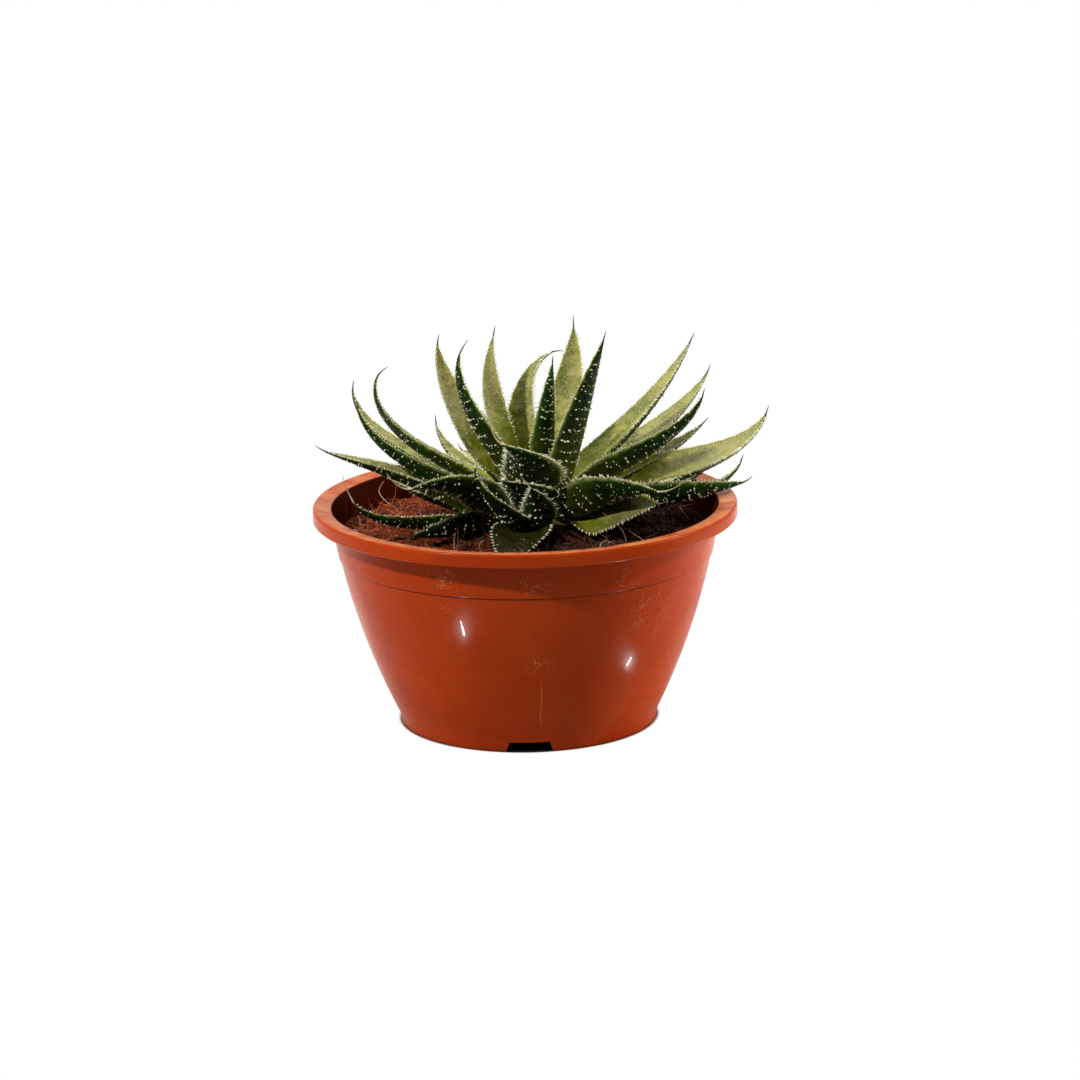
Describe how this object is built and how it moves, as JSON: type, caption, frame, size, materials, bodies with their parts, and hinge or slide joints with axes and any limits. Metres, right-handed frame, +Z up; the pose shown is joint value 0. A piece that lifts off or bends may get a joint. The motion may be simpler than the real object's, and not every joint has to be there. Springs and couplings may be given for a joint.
{
  "type": "potted aloe plant",
  "caption": "Small lace aloe: a rosette of curved, pointed, toothed succulent leaves, growing in coir compost in a wide round terracotta-coloured plastic pot.",
  "frame": {"origin": "middle of the whole plant's footprint, on the surface that the pot stands on; the pot's own axis is 6.4 mm from it, towards -X", "axes": "+Z up; the plant's front, with the low pale leaves and one foot notch, faces -Y; the long low leaf that passes the rim points to +X"},
  "size_m": [0.1728, 0.16, 0.1487],
  "materials": {
    "pot_plastic": "gloss",
    "compost": "matte",
    "leaf": "satin",
    "stem": "satin"
  },
  "bodies": {
    "root": {"pot": "pot_plastic", "soil": "compost", "stem": "stem", "leaf_01": "leaf", "leaf_02": "leaf", "leaf_03": "leaf", "leaf_04": "leaf", "leaf_05": "leaf", "leaf_06": "leaf", "leaf_07": "leaf", "leaf_08": "leaf", "leaf_09": "leaf", "leaf_10": "leaf", "leaf_11": "leaf", "leaf_12": "leaf", "leaf_13": "leaf", "leaf_14": "leaf", "leaf_15": "leaf", "leaf_16": "leaf", "leaf_17": "leaf", "leaf_18": "leaf", "leaf_19": "leaf", "leaf_20": "leaf", "leaf_21": "leaf", "leaf_22": "leaf", "leaf_23": "leaf", "leaf_24": "leaf", "leaf_25": "leaf", "leaf_26": "leaf", "leaf_27": "leaf", "leaf_28": "leaf", "leaf_29": "leaf", "leaf_30": "leaf", "leaf_31": "leaf", "leaf_32": "leaf", "leaf_33": "leaf", "leaf_34": "leaf", "leaf_35": "leaf"}
  },
  "joints": []
}
